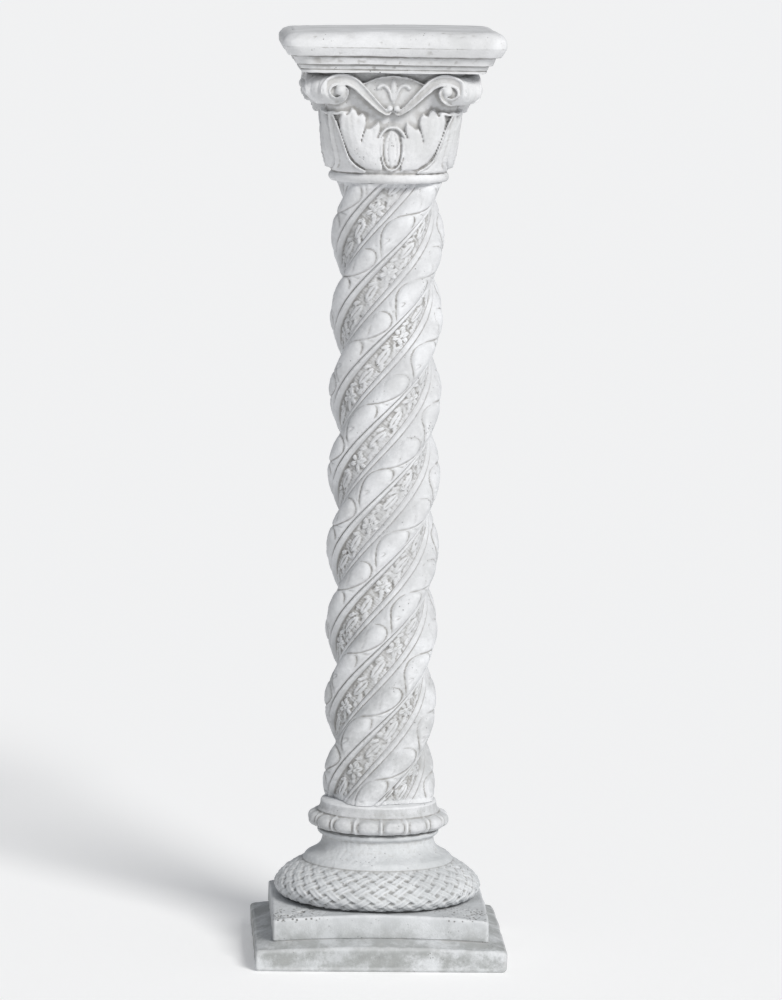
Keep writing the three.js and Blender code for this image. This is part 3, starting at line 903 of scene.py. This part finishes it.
# Capital: the carved bell is worked out as a field, positive inside the stone.
# A place on a face is across, in millimetres from the middle of the face, and height.
voxel = 1.3
field_reach = 112.0
far_outside = -50.0
cut_share = 0.53  # height of the cut between the capital's two pieces, as a share of the bell

# The bare bell: shares of its height, each list with its radius there at the middle of a face,
# or with the ratio of its corners' radius to that one
bell_faces = ([0, 0.02, 0.1, 0.2, 0.32, 0.6, 0.75, 0.9, 1.05],
              [68.5, 71, 73.8, 76.4, 77.4, 77.4, 79.5, 83.5, 88])
bell_corners = ([0, 0.06, 0.22, 0.6, 1.05], [1.0, 1.02, 1.085, 1.285, 1.32])

# Lines and outlines on a face, in hundredths of the bell's radius and height
half_leaf = [(13.3, 3.1), (36.5, 4.7), (50.7, 11.5), (60.3, 20.8), (67.7, 32.5), (72.7, 43.5),
             (74.1, 52.7), (73.2, 57.8), (68.7, 61.2), (63.9, 58.2), (57.2, 65.3), (51.4, 62.8),
             (48.3, 57.8), (42.1, 60.3), (37.3, 56.2), (37.1, 49.4), (39.6, 42.6), (43.4, 31.7),
             (40.7, 39.3), (36.9, 45.1), (31.6, 45.1), (19.8, 51.5), (17.3, 47.7), (18.2, 41),
             (21, 36.4), (12.8, 36), (12.1, 30.9), (15.3, 24.1), (14.9, 14), (12.3, 7.3)]
leaf_veins = [
    [(58, 58), (57, 45), (52, 30), (42, 15)],
    [(49, 53), (48, 42), (43, 28)],
    [(66, 54), (65, 43), (60, 28)],
    [(27, 43), (31, 32), (34, 20)],
]
corner_rib = [(84.8, 58.7), (79.9, 51.9), (73.7, 41), (67.5, 28.4), (60.1, 14.8), (50.5, 7.3),
              (37.5, 1.9)]
corner_vein = [(90, 58), (87, 44), (81, 30), (72, 14), (62, 5)]
oval_side = [(0, 3.9), (6, 5.2), (11.5, 10.5), (14.6, 20), (15, 30), (13.4, 36.5)]
oval_hood = [(0, 46.6), (7, 45.6), (13, 42), (17.6, 37)]
bud_line = [(0, 44.5), (6.5, 40.5), (11.8, 30), (12, 20), (8, 9), (0, 5.5)]
bud_vein = [(3, 8), (6, 20), (5, 33), (1.5, 41)]
scroll_line = [(2.5, 63.5), (5.5, 60.9), (10, 61.2), (20.8, 67.2), (32.2, 75.1), (43.6, 83.2),
               (55, 90.3), (67.6, 93.8), (81, 93), (91.5, 88.6), (95, 82), (90.5, 75.2),
               (79.5, 72.3), (69.5, 76), (66.5, 82.5), (71.5, 86)]
panel_outline = [(0, 98), (21.9, 95.8), (40.3, 90.3), (52, 88), (40, 78), (22, 64), (0, 61)]
panel_rim = [(0, 97.9), (21.9, 95.8), (40.3, 90.3)]
lily_petal = [(0, 96), (4.3, 89.8), (4.8, 85.5), (2.6, 78), (2.3, 69.5), (0, 69.5)]
lily_side = [(2.2, 74), (5.5, 81.5), (11, 87), (17.5, 88), (21.5, 85.5)]

# Half-round ridges on a face, as [line, height, half width]
face_ridges = [(corner_rib, 5.4, 1.7), (oval_side, 5.6, 1.5), (oval_hood, 6.8, 2.2)]

# Heights and depths on a face
leaf_rise = 3.6
leaf_tip_share = 0.62
leaf_swell = 1.5
leaf_vein_depth = 0.6
corner_leaf_rise = 2.0
corner_leaf_swell = 1.6
corner_vein_depth = 0.9
bud_rise = 3.2
bud_vein_depth = 1.5
lily_petal_rise = 3.4
lily_side_rise = 3.2
panel_rim_rise = 3.0
channel_depth = 2.8
scroll_edge_round = 1.6

# The scroll's widths along its line, in millimetres. Then how far from the axis the scroll
# stands at shares of its length, and the panel at shares of the bell's height
scroll_widths = [3.5, 4.5, 6, 8.5, 10.6, 11.8, 13.4, 14.2, 13.6, 13.4, 13, 11.6, 9.6, 8, 7, 5]
scroll_planes = ([0, 0.12, 0.3, 0.45, 0.6, 1], [86.5, 89, 95, 99.5, 101.5, 103.5])
panel_planes = ([0.6, 0.7, 0.85, 1.0], [84.5, 87.0, 90.2, 91.5])

# The scroll's eye and the ball at its other end
eye_inset = 8.6
eye_radius = 6.6
knob_across = 4.2
knob_height = bell_foot + 0.655 * bell_height
knob_out = 89.5
knob_radius = 3.8

# The drum that joins two volutes at a corner, and the lip under it
drum_axis = 117.2
drum_half_length = 17.0
drum_belts = (6.0, 12.5)
belt_depth = 0.9
belt_half_width = 2.4
lip_height = bell_foot + 0.6 * bell_height
lip_out = 104.5
lip_half_width = 19.0
lip_half_thickness = 1.7
lip_wave = 0.8
volute_drop = 14.0


def face_line(points):
    """Points in hundredths of the bell's radius and height, as across and height."""
    across, height = np.transpose(points)
    return np.stack([across * bell_radius / 100, bell_foot + height * bell_height / 100], axis=-1)


def along_face_line(places, points):
    """Distance to a smooth line on a face, and how far along it each place is."""
    return along_line(places, curve_through(face_line(points)))[:2]


def mirrored_depth(places, half_outline):
    """Depth inside an outline that is the same on both sides of the face's middle."""
    return inside_depth(places, np.vstack([half_outline, half_outline[::-1] * (-1, 1)]))


def bell_ground(height):
    """Radius of the bare bell at the middle of a face, and its roundness as a power."""
    share = (height - bell_foot) / bell_height
    corner = np.interp(share, *bell_corners)
    power = 1 / np.maximum(0.5 - np.log2(corner), 0.06)
    return np.interp(share, *bell_faces), power


def face_relief(places):
    """Height of the leaves, ribs and ovals above the bare bell at each place on a face."""
    across, height = places[..., 0], places[..., 1]
    share = (height - bell_foot) / bell_height

    rib = curve_through(face_line(corner_rib))
    beyond = across - np.interp(height, rib[::-1, 1], rib[::-1, 0])
    below_tip = smoothstep(leaf_tip_share, leaf_tip_share - 0.04, share)
    corner_leaf = corner_leaf_rise + corner_leaf_swell * smoothstep(0, 14, beyond)
    corner_leaf = corner_leaf * smoothstep(-1.2, 1.0, beyond) * below_tip
    vein, _ = along_face_line(places, corner_vein)
    relief = np.maximum(corner_leaf - corner_vein_depth * groove(vein, 1.3) * below_tip, 0)
    for line, rise, half_width in face_ridges:
        gap, _ = along_face_line(places, line)
        relief = np.maximum(relief, rise * half_round(gap, half_width))

    depth = inside_depth(places, face_line(half_leaf))
    thick = leaf_rise + leaf_rise * np.clip(share / leaf_tip_share, 0, 1.05) ** 2.2
    leaf = thick * smoothstep(-0.7, 1.1, depth) + leaf_swell * swell(depth, 5)
    for line in leaf_veins:
        gap, where = along_face_line(places, line)
        leaf -= leaf_vein_depth * groove(gap, 2.3) * (1 - 0.6 * where)
    relief = np.maximum(relief, np.where(depth > -0.7, leaf, 0))

    bud = mirrored_depth(places, curve_through(face_line(bud_line)))
    vein, _ = along_face_line(places, bud_vein)
    bud_height = bud_rise * swell(bud, 1.6) - bud_vein_depth * groove(vein, 0.9) * (bud > 0.5)
    return np.maximum(relief, bud_height)


def panel_relief(places):
    """Height of the lily and the rim on the panel between the scrolls."""
    rim, _ = along_face_line(places, panel_rim)
    side, share = along_face_line(places, lily_side)
    return np.maximum.reduce([
        lily_petal_rise * swell(mirrored_depth(places, face_line(lily_petal)), 1.2),
        lily_side_rise * half_round(side, 1.6 + 1.0 * share),
        panel_rim_rise * half_round(rim, 1.9),
    ])


def scroll_field(places):
    """Inset in the scroll's band, the height of its channel, and how far along it a place is."""
    line = curve_through(face_line(scroll_line), 5)
    widths = np.interp(np.linspace(0, 1, len(line)), np.linspace(0, 1, len(scroll_widths)), scroll_widths)
    gap, where, half = along_line(places, line, widths / 2)
    edge = np.clip(gap / half, 0, 1)
    channel = channel_depth * smoothstep(0.3, 0.74, edge)
    channel -= scroll_edge_round * smoothstep(0.86, 1.0, edge)
    return half - gap, channel, where


def capital_field():
    """The field over a quarter of the capital, and its grid along a side and upwards."""
    side = np.arange(int(math.ceil(field_reach / voxel)) + 1) * voxel
    heights = np.arange(capital_foot - 3 * voxel, steps_foot + 3.5, voxel)

    # Forms that stand on a face, by place across and up
    across, up = np.meshgrid(side, heights, indexing="ij")
    places = np.stack([across, up], axis=-1)
    relief = face_relief(places)
    scroll_inset, channel, where = scroll_field(places)
    under = np.clip((volute_height - 3 - up) / (volute_radius - 3), 0, 1) ** 1.7
    drop = volute_drop * under * smoothstep(volute_across - 16, volute_across - 4, across)
    scroll = np.interp(where, *scroll_planes) + channel - drop
    disc = disc_plane - 1.5 - drop
    disc_inset = volute_radius - 1 - np.hypot(across - volute_across, up - volute_height)
    drum_front = disc_plane + 4 - drop
    eye = np.hypot(across - volute_across + eye_inset, up - volute_height)
    knob = np.hypot(across - knob_across, up - knob_height)
    panel = np.interp((up - bell_foot) / bell_height, *panel_planes) + panel_relief(places)
    panel_inset = mirrored_depth(places, curve_through(face_line(panel_outline)))

    # Forms seen from above
    x, y = np.meshgrid(side, side, indexing="ij")
    small = np.minimum.outer(np.arange(len(side)), np.arange(len(side)))
    out = np.maximum(x, y)
    radius = np.hypot(x, y)
    diagonal = (x + y) / math.sqrt(2)
    tangent = np.abs(x - y) / math.sqrt(2)
    belts = sum(belt_depth * bump(tangent - belt, belt_half_width) for belt in drum_belts)
    lip_outline = np.minimum(lip_out - 0.012 * tangent ** 2 - diagonal, lip_half_width - tangent)
    lip_middle = lip_height + lip_wave * np.cos(tangent / 2.4)
    lip_root = np.clip(94 - diagonal, 0, 4) * 0.6

    ground, power = bell_ground(heights)
    field = np.empty((len(side), len(side), len(heights)), np.float32)
    for k, height in enumerate(heights):
        p = power[k]
        norm = (x ** p + y ** p + 1e-9) ** (1 / p)
        bell = ground[k] + relief[small, k] - norm
        if height < bell_foot or height > steps_foot + 1.5:
            bell = np.full(bell.shape, far_outside)
        drum = volute_radius - belts - np.hypot(diagonal - drum_axis, height - volute_height)
        drum = np.minimum(drum, drum_half_length - tangent)
        from_lip = np.abs(height - lip_middle)
        from_ring = height - (capital_foot + foot_ring_half)
        field[:, :, k] = np.maximum.reduce([
            bell,
            np.minimum(scroll[small, k] - out, scroll_inset[small, k]),
            np.minimum(disc[small, k] - out, disc_inset[small, k]),
            np.minimum(panel[small, k] - out, panel_inset[small, k]),
            knob_radius - np.hypot(knob[small, k], out - knob_out),
            eye_radius - np.hypot(eye[small, k], out - disc_plane),
            np.minimum(drum, drum_front[small, k] - out),
            np.minimum(lip_outline, lip_half_thickness - from_lip + lip_root),
            foot_ring_half - np.hypot(radius - foot_ring_radius, from_ring),
            np.minimum(foot_ring_core - radius, foot_ring_half - abs(from_ring)),
        ])
    return np.clip(field, -4, 4), side, heights


def surface_of(field, origin):
    """Mesh of the surface where the field changes sign: one point in each cell it crosses."""
    inside = field > 0
    shape = np.array(field.shape)
    total = np.zeros((*(shape - 1), 3), np.float32)
    count = np.zeros(shape - 1, np.int8)
    corner = [slice(0, -1), slice(1, None)]
    for axis in range(3):
        others = [k for k in range(3) if k != axis]
        turned = np.moveaxis(field, axis, 0)
        low, high = turned[:-1], turned[1:]
        crossed = (low > 0) != (high > 0)
        share = np.where(crossed, low / np.where(crossed, low - high, 1), 0)
        turned_total, turned_count = np.moveaxis(total, axis, 0), np.moveaxis(count, axis, 0)
        for first, second in np.ndindex(2, 2):
            cells = (slice(None), corner[first], corner[second])
            turned_count += crossed[cells]
            turned_total[..., axis] += share[cells]
            turned_total[..., others[0]] += crossed[cells] * first
            turned_total[..., others[1]] += crossed[cells] * second
    used = count > 0
    number = np.full(used.shape, -1, np.int64)
    number[used] = np.arange(used.sum())
    cells = np.argwhere(used)
    points = (cells + total[used] / count[used][:, None]) * voxel + origin
    quads = []
    for axis in range(3):
        others = [k for k in range(3) if k != axis]
        start, end = [slice(1, -1)] * 3, [slice(1, -1)] * 3
        start[axis], end[axis] = corner
        a, b = inside[tuple(start)], inside[tuple(end)]
        crossed = np.argwhere(a != b)
        leaving = a[tuple(crossed.T)]
        crossed += 1
        crossed[:, axis] -= 1
        quad = []
        for first, second in ((0, 0), (1, 0), (1, 1), (0, 1)):
            cell = crossed.copy()
            cell[:, others[0]] -= 1 - first
            cell[:, others[1]] -= 1 - second
            quad.append(number[tuple(cell.T)])
        quad = np.stack(quad, axis=-1)
        forward = leaving if axis != 1 else ~leaving
        quads.append(np.where(forward[:, None], quad, quad[:, ::-1]))
    return points, np.vstack(quads)


def closed_part(name, points, quads, normals, hollow):
    """Some faces of a surface as a mesh of their own, closed by a fan from the axis."""
    edges = np.concatenate([quads[:, [k, (k + 1) % 4]] for k in range(4)])
    forward = edges[:, 0] * len(points) + edges[:, 1]
    backward = edges[:, 1] * len(points) + edges[:, 0]
    rim = edges[~np.isin(forward, backward)]
    used, numbers = np.unique(np.concatenate([quads.ravel(), rim.ravel()]), return_inverse=True)
    faces = numbers[: quads.size].reshape(-1, 4)
    rim = numbers[quads.size:].reshape(-1, 2)
    middle = np.array([0, 0, points[used][rim.ravel(), 2].mean()])
    fan = np.column_stack([rim[:, ::-1], np.full(len(rim), len(used))])
    mesh = new_mesh(name, np.vstack([points[used], middle]), faces, fan)
    store(mesh, "hollow", np.append(hollow[used], 0))
    mesh.normals_split_custom_set_from_vertices(np.vstack([normals[used], (0, 0, 1)]))
    return mesh


def ground_dirt_and_shade(points):
    """A little dirt and painted shade for the sunk bare ground of the bell and of its panels."""
    height = points[:, 2]
    ground, power = bell_ground(height)
    x, y = np.abs(points[:, 0]), np.abs(points[:, 1])
    above_bell = (x ** power + y ** power + 1e-9) ** (1 / power) - ground
    above_panel = np.maximum(x, y) - np.interp(height, [1030, 1050, 1065], [87.0, 90.2, 91.5])
    in_panel = (height > 1024) & (np.minimum(x, y) < 34)
    return 0.1 * smoothstep(1.6, 0.4, np.where(in_panel, above_panel, above_bell))


def build_bell():
    quarter, side, heights = capital_field()
    half = np.concatenate([quarter[:0:-1], quarter], axis=0)
    whole = np.concatenate([half[:, :0:-1], half], axis=1)
    edge = np.full((*whole.shape[:2], 1), -4, np.float32)
    whole = np.concatenate([edge, whole, edge], axis=2)
    origin = np.array([-side[-1], -side[-1], heights[0] - voxel])
    points, quads = surface_of(whole, origin)
    mesh = new_mesh("bell_whole", points, quads)
    wear = noises(points, (0.25, 7, 31), (0.2, 3, 32)) - 0.25 - 0.9 * patches(points, 4.5, 33, 0.55)
    points = points + vertex_array(mesh, "normal") * wear[:, None]
    points[:, 2] = np.clip(points[:, 2], capital_foot, steps_foot + 3)
    mesh.vertices.foreach_set("co", (points * MM).astype(np.float32).ravel())
    mesh.update()
    hollow = hollow_depth(mesh, rounds=12, reach=1.3, added_dirt_and_shade=ground_dirt_and_shade(points), soften=4)
    normals = vertex_array(mesh, "normal")
    bpy.data.meshes.remove(mesh)
    above_cut = points[quads, 2].mean(axis=1) > bell_foot + cut_share * bell_height
    for name, chosen in (("leaves", ~above_cut), ("scrolls", above_cut)):
        part = closed_part(f"capital_{name}_carved", points, quads[chosen], normals, hollow)
        add_piece(part, "capital")


build_bell()


# Abacus on its two steps, as [half width, height above the foot of the steps]
abacus_profile = [
    (100.0, 0.0), (109.0, 0.0), (109.6, 0.8), (110.4, 3.6), (109.8, 4.2), (111.0, 5.2),
    (112.0, 8.4), (112.2, 9.6), (113.0, 10.0), (116.0, 10.2), (116.6, 11.0), (117.6, 13.6),
    (118.8, 16.4), (119.6, 18.6), (119.7, 19.8), (120.6, 20.0), (124.6, 20.2), (126.0, 21.2),
    (128.4, 25.2), (130.8, 29.4), (131.8, 31.8), (132.0, 34.0), (132.0, 37.0),
]
round_in, round_up = 18.0, 14.0
abacus_profile += [
    (132.0 - round_in * inset, 37.0 + round_up * rise) for inset, rise in quarter_round(0, 90, 13)[1:]
]
# Dirt and painted shade along the creases of the steps, as [height above the foot of the steps, half
# thickness]
step_crease_dirt_and_shade = [(20.2, 1.3), (10.0, 0.9), (4.3, 0.7), (31.0, 0.5)]
abacus_corner = 18.0
abacus_side_steps = 70
abacus_corner_steps = 14
abacus_rows = 76
abacus_top_loops = 24
corner_drop = 3.0


def rounded_square(half):
    corner = abacus_corner
    flat = np.linspace(-1, 1, abacus_side_steps + 1)[:-1]
    straight = np.column_stack([flat * (half - corner), np.full(len(flat), -half)])
    swing = np.linspace(-math.pi / 2, 0, abacus_corner_steps + 1)[:-1]
    bend = np.column_stack([
        half - corner + corner * np.cos(swing), -(half - corner) + corner * np.sin(swing)
    ])
    return four_sides(np.vstack([straight, bend]))


def build_abacus():
    rings = []
    last = len(abacus_profile) - 1
    for half, rise in zip(*read_profile(abacus_profile, np.linspace(0, last, abacus_rows))):
        loop = rounded_square(half)
        rings.append(np.column_stack([loop, np.full(len(loop), steps_foot + rise)]))
    rim = rings[-1]
    for share in np.linspace(1, 0.1, abacus_top_loops)[1:]:
        rings.append(rim * (share, share, 1))
    rings = np.array(rings)
    wear = noises(rings, (0.9, 34, 41), (0.3, 7, 42), (0.15, 3, 43))
    wear = np.clip(wear - (1.4 * patches(rings, 8, 44, 0.5) + 0.6), -4, 0)
    flat = rings[..., 2] > column_top - 0.2
    top_wear = 0.4 * noise(rings, 34, 46) - 0.4
    rings = moved_out(rings, np.where(flat, top_wear, wear))
    rings[..., 2] = np.minimum(rings[..., 2], column_top)
    # The upper slab leans down a little to the left.
    upper_share = smoothstep(column_top - 24, column_top - 4, rings[..., 2])
    rings[..., 2] -= corner_drop * smoothstep(30, -125, rings[..., 0]) * upper_share

    mesh = ring_mesh("abacus_carved", rings)
    points = vertex_array(mesh, "co") / MM
    added_dirt_and_shade = np.zeros(len(points))
    # Dirt and painted shade along each crease
    for rise, thick in step_crease_dirt_and_shade:
        line = groove(points[:, 2] - steps_foot - rise, thick)
        added_dirt_and_shade = np.maximum(added_dirt_and_shade, line * (0.75 + 0.5 * noise(points, 9, 45)))
    on_steps = smoothstep(steps_foot + 21, steps_foot + 17, points[:, 2])
    # Dirt and painted shade on the steps under the slab, darker towards the left, away from the key light
    steps_dirt_and_shade = (0.08 + 0.2 * smoothstep(-40, -110, points[:, 0])) * on_steps
    added_dirt_and_shade = np.maximum(added_dirt_and_shade, steps_dirt_and_shade)
    store(mesh, "hollow", hollow_depth(mesh, added_dirt_and_shade=added_dirt_and_shade))
    add_piece(mesh, "capital")


build_abacus()


# Plain pale floor. It glows a little, so that it stays as pale as the photograph's ground.
floor_reach = 120.0
floor_shade = (0.95, 0.95, 0.95)
floor_glow = 0.14


def build_floor():
    mesh = bpy.data.meshes.new("floor")
    ends = (-floor_reach, floor_reach)
    mesh.from_pydata([(x, y, 0) for x in ends for y in ends], [], [(0, 2, 3, 1)])
    floor = bpy.data.objects.new("floor", mesh)
    bpy.context.scene.collection.objects.link(floor)
    material = bpy.data.materials.new("floor")
    material.use_nodes = True
    fill(material.node_tree, material.node_tree.nodes["Principled BSDF"], {
        "Base Color": floor_shade, "Roughness": 1.0, "Specular IOR Level": 0.0,
        "Emission Color": (1, 1, 1), "Emission Strength": floor_glow,
    })
    mesh.materials.append(material)


build_floor()


# Soft light from above and the front right, with a paler sky all round
key_direction = Vector((-0.46, 0.84, -0.64))
sky_color = (0.93, 0.955, 1.0)
sky_strength = 0.36

key = bpy.data.lights.new("key", "SUN")
key.energy = 2.5
key.angle = math.radians(20)
key.color = (1.0, 0.99, 0.97)
key_object = bpy.data.objects.new("key", key)
key_object.rotation_euler = key_direction.to_track_quat("-Z", "Y").to_euler()
bpy.context.scene.collection.objects.link(key_object)
bpy.context.scene.view_settings.view_transform = "Standard"
world = bpy.data.worlds.new("sky")
world.use_nodes = True
background = world.node_tree.nodes["Background"]
fill(world.node_tree, background, {"Color": sky_color, "Strength": sky_strength})
bpy.context.scene.world = world


# Camera: far off, a little higher than the column and left of its front. Sizes are in metres.
photo_height = 1000
focal_pixels = 5600.0
camera_distance = 6.7
camera_height = 1.35
camera_swing = math.radians(2.6)
camera_roll = math.radians(0.95)
aim_point = Vector((0.0092, 0.0, 0.5486))

camera_data = bpy.data.cameras.new("camera")
camera_data.sensor_width = 36.0
camera_data.lens = focal_pixels * camera_data.sensor_width / photo_height
camera = bpy.data.objects.new("camera", camera_data)
bpy.context.scene.collection.objects.link(camera)
camera.location = (
    -camera_distance * math.sin(camera_swing),
    -camera_distance * math.cos(camera_swing),
    camera_height,
)
look = (aim_point - camera.location).to_track_quat("-Z", "Y")
camera.rotation_euler = (look.to_matrix() @ Matrix.Rotation(camera_roll, 3, "Z")).to_euler()
bpy.context.scene.camera = camera

bpy.context.view_layer.update()
